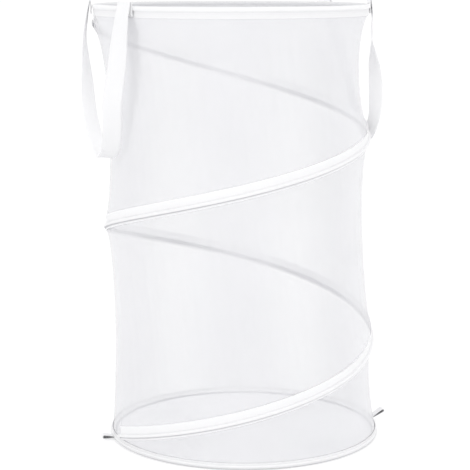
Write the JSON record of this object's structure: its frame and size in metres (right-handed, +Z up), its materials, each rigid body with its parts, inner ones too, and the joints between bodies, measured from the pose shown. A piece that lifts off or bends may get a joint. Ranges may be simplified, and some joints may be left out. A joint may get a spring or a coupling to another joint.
{
  "type": "pop up laundry hamper",
  "caption": "Open-topped round hamper of fine net on sprung hoops and a spiral wire, with webbing handles; it folds flat.",
  "frame": {"origin": "middle of the floor panel's underside, on the plane the hamper stands on", "axes": "+Z up along the tube, +X towards the right handle, -Y towards the viewer"},
  "size_m": [0.4333, 0.3929, 0.6147],
  "materials": {
    "net": "fine white polyester net, matt, part see-through",
    "floor_cloth": "white woven polyester, matt",
    "tape": "white woven binding tape, slight sheen",
    "webbing": "white woven polypropylene webbing, slight sheen",
    "ribbon": "white woven ribbon, slight sheen",
    "thread": "white sewing thread",
    "spring_steel": "plain round spring steel wire",
    "tip_plastic": "moulded white plastic"
  },
  "bodies": {
    "base": {"bottom_hoop_wire": "spring_steel", "bottom_hoop_ferrule": "spring_steel", "bottom_binding": "tape", "floor_panel": "floor_cloth", "mesh_wall": "net", "spiral_wire": "spring_steel", "spiral_binding": "tape", "spiral_bottom_tip": "tip_plastic"},
    "top": {"top_hoop_wire": "spring_steel", "top_hoop_ferrule": "spring_steel", "top_binding": "tape", "spiral_top_tip": "tip_plastic", "left_handle_front_tab": "webbing", "left_handle_rear_tab": "webbing", "right_handle_front_tab": "webbing", "right_handle_rear_tab": "webbing", "left_handle_front_tack": "thread", "left_handle_rear_tack": "thread", "right_handle_front_tack": "thread", "right_handle_rear_tack": "thread"},
    "left_handle": {"left_handle_loop": "webbing"},
    "right_handle": {"right_handle_loop": "webbing"},
    "left_tie": {"left_closure_tie": "ribbon"},
    "right_tie": {"right_closure_tie": "ribbon"}
  },
  "joints": [
    {"name": "collapse", "type": "slide", "parent": "base", "child": "top", "axis": [0.0277, -0.0129, -0.9995], "range_m": [0, 0.5763], "stiffness_N_per_m": 30, "springref_m": -0.27, "deforming": ["mesh_wall", "spiral_wire", "spiral_binding"]},
    {"name": "left_handle_swing", "type": "hinge", "parent": "top", "child": "left_handle", "pos_m": [-0.19987, 0.00796, 0.615], "axis": [0, 1, 0], "range_deg": [0, 180]},
    {"name": "right_handle_swing", "type": "hinge", "parent": "top", "child": "right_handle", "pos_m": [0.16579, 0.00796, 0.615], "axis": [0, -1, 0], "range_deg": [0, 180]},
    {"name": "left_tie_bend", "type": "hinge", "parent": "base", "child": "left_tie", "pos_m": [-0.18633, 0.03285, 0.00315], "axis": [0.1736, 0.9848, 0], "range_deg": [0, 42], "stiffness_Nm_per_rad": 0.001},
    {"name": "right_tie_bend", "type": "hinge", "parent": "base", "child": "right_tie", "pos_m": [0.18471, -0.04095, 0.00315], "axis": [-0.2164, -0.9763, 0], "range_deg": [-25, 17], "stiffness_Nm_per_rad": 0.001}
  ]
}
